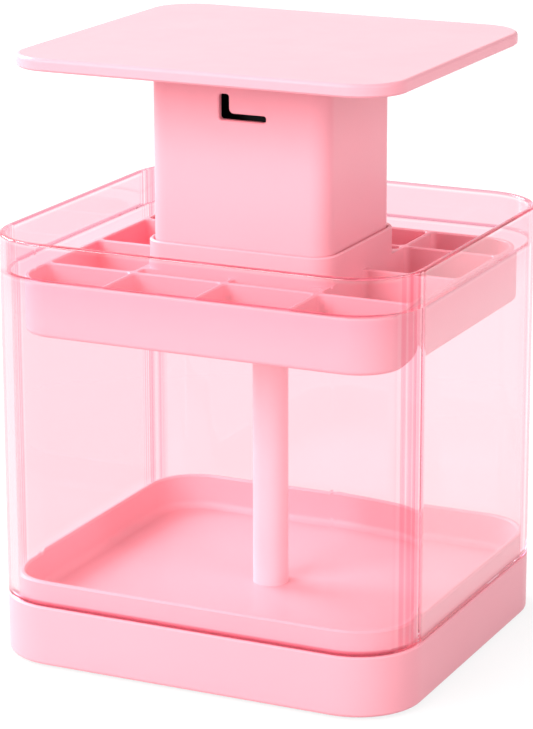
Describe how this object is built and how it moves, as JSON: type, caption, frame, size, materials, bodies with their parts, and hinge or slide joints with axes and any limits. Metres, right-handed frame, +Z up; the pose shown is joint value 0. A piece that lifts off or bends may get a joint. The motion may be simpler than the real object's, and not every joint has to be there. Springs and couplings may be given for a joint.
{
  "type": "lipstick organizer",
  "caption": "Clear square box on a moulded base with a spring-lifted rack: a flat lid, a hollow column and a tray of upright cells that rise on a centre pole when pressed.",
  "frame": {"origin": "under the middle of the base, on the surface that it stands on", "axes": "+Z up along the pole, -Y the front with the slot, +X to the right"},
  "size_m": [0.14, 0.128, 0.1917],
  "materials": {
    "pink_shell": "smooth satin-gloss moulded plastic in pale pink",
    "pink_cover": "fine matt moulded plastic in pale pink",
    "pink_pole": "gloss pink tube",
    "pink_tray": "smooth moulded plastic in pale pink",
    "clear_plastic": "clear polished styrene",
    "foot_rubber": "soft translucent grey pads",
    "plated_steel": "zinc-plated pan-head screws",
    "spring_steel": "drawn spring steel",
    "black_plastic": "black moulded plastic",
    "white_plastic": "natural white acetal"
  },
  "bodies": {
    "base": {"base_shell": "pink_shell", "base_cover": "pink_cover", "rubber_feet": "foot_rubber", "cover_screws": "plated_steel", "pole_screw": "plated_steel", "pole_washer": "plated_steel", "centre_pole": "pink_pole", "pole_plug": "black_plastic", "pole_cap": "white_plastic", "lift_spring": "spring_steel"},
    "case": {"clear_case": "clear_plastic"},
    "rack": {"tray": "pink_tray", "column_shell": "pink_shell", "lid_plate": "pink_shell", "guide_bush": "white_plastic", "guide_sleeve": "black_plastic", "lift_rod": "spring_steel", "spring_seat": "white_plastic", "latch_housing": "black_plastic", "jaw_pins": "spring_steel", "tray_screws": "plated_steel", "lid_screws": "plated_steel", "latch_screws": "plated_steel"},
    "jaw_right": {"latch_jaw_right": "white_plastic"},
    "jaw_left": {"latch_jaw_left": "white_plastic"}
  },
  "joints": [
    {"name": "rack_slide", "type": "slide", "parent": "base", "child": "rack", "axis": [0, 0, 1], "range_m": [-0.058, 0], "stiffness_N_per_m": 120, "springref_m": 0.08, "deforming": ["lift_spring"]},
    {"name": "case_lift", "type": "slide", "parent": "base", "child": "case", "axis": [0, 0, 1], "range_m": [0, 0.175]},
    {"name": "jaw_right_swing", "type": "hinge", "parent": "rack", "child": "jaw_right", "pos_m": [0.0112, 0.0065, 0.1786], "axis": [0, 0, 1], "range_deg": [-16, 0], "stiffness_Nm_per_rad": 0.02},
    {"name": "jaw_left_swing", "type": "hinge", "parent": "rack", "child": "jaw_left", "pos_m": [-0.0112, 0.0065, 0.1786], "axis": [0, 0, 1], "range_deg": [0, 16]}
  ],
  "couplings": [
    {"joint": "jaw_left_swing", "follows": "jaw_right_swing", "ratio": -1}
  ]
}
